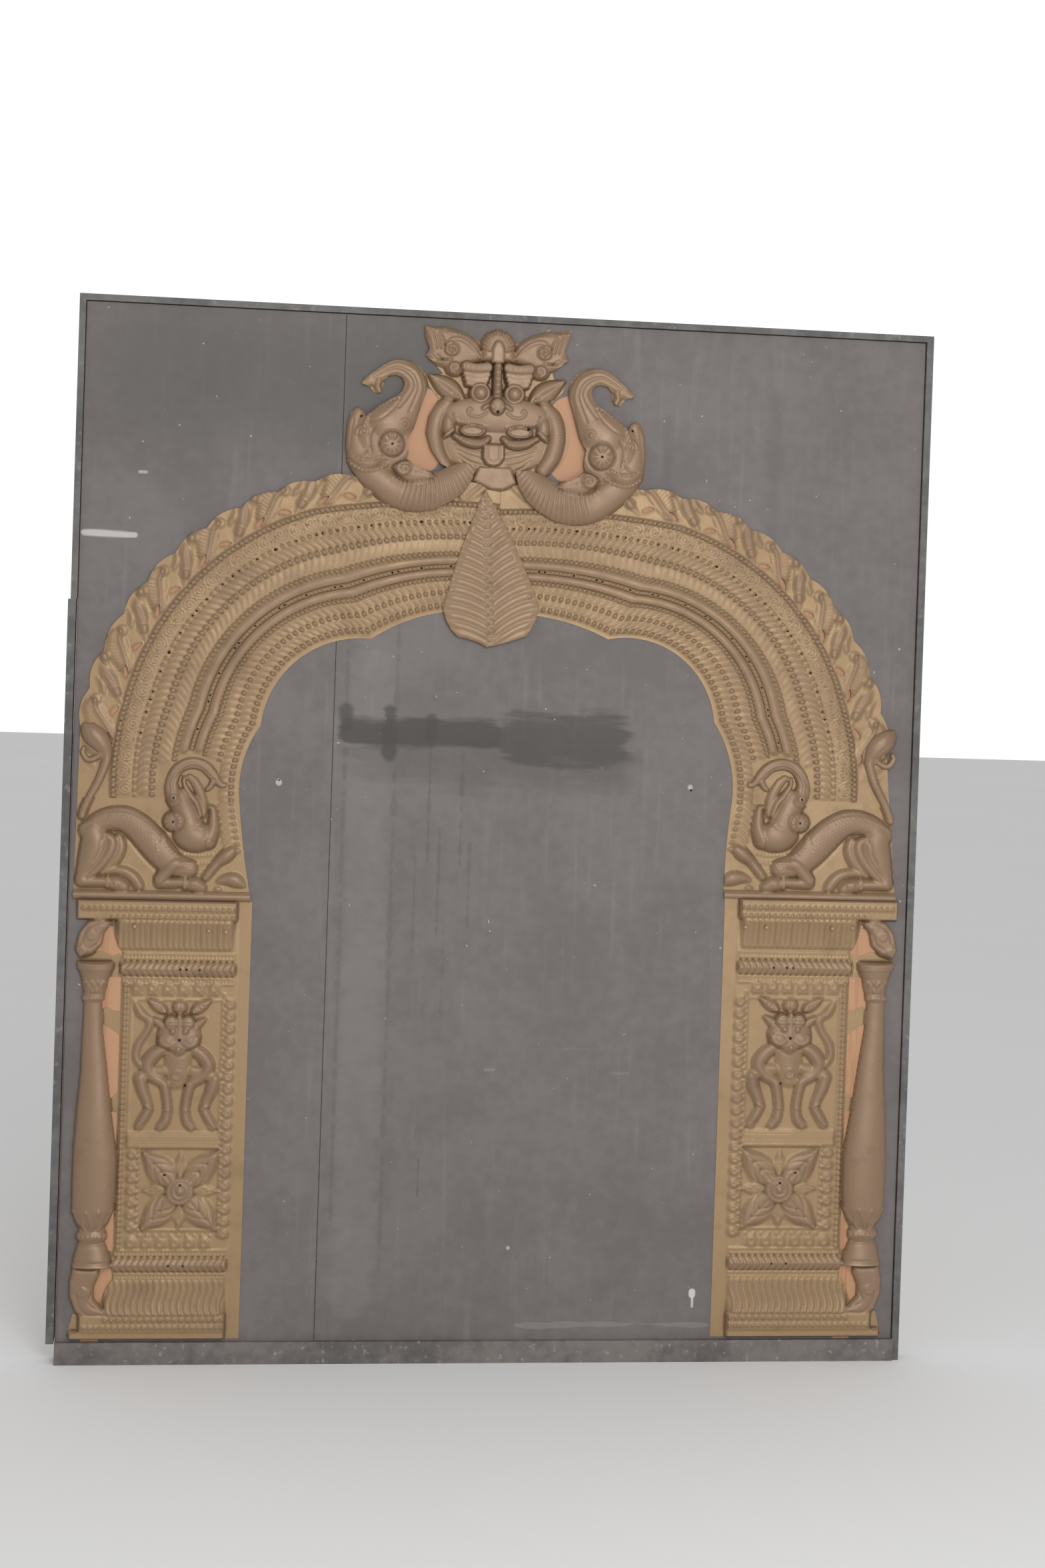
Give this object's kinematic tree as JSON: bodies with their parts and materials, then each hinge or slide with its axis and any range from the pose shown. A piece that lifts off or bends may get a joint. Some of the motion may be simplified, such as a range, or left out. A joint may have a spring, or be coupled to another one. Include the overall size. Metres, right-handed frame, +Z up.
{
  "type": "temple arch panel",
  "caption": "Cusped temple arch of embossed sheet metal with panel pillars, a leaf keystone and a mask crest, nailed to a painted plywood board with edge strips and rear battens.",
  "frame": {"origin": "foot of the board's back plane, half way between the upper edge strips", "axes": "+Z up, +Y back to the wall, +X to the viewer's right"},
  "size_m": [1.801, 0.089, 2.193],
  "materials": {
    "painted_plywood": "matt paint",
    "painted_timber": "matt paint",
    "rear_timber": "sawn",
    "embossed_sheet": "aged, tarnished"
  },
  "bodies": {
    "root": {"board_sheet_left": "painted_plywood", "board_sheet_right": "painted_plywood", "edge_strip_top": "painted_timber", "edge_strip_right": "painted_timber", "edge_strip_left_upper": "painted_timber", "edge_strip_left_lower": "painted_timber", "bottom_rail": "painted_timber", "rear_stile_left": "rear_timber", "rear_stile_right": "rear_timber", "rear_rail_top": "rear_timber", "rear_rail_bottom": "rear_timber", "seam_batten": "rear_timber", "mid_rail_left": "rear_timber", "mid_rail_right": "rear_timber", "arch_sheet_left": "embossed_sheet", "arch_sheet_right": "embossed_sheet", "pillar_sheet_left": "embossed_sheet", "pillar_sheet_right": "embossed_sheet", "keystone_leaf": "embossed_sheet", "crest_makara_left": "embossed_sheet", "crest_makara_right": "embossed_sheet", "crest_mask": "embossed_sheet"}
  },
  "joints": []
}
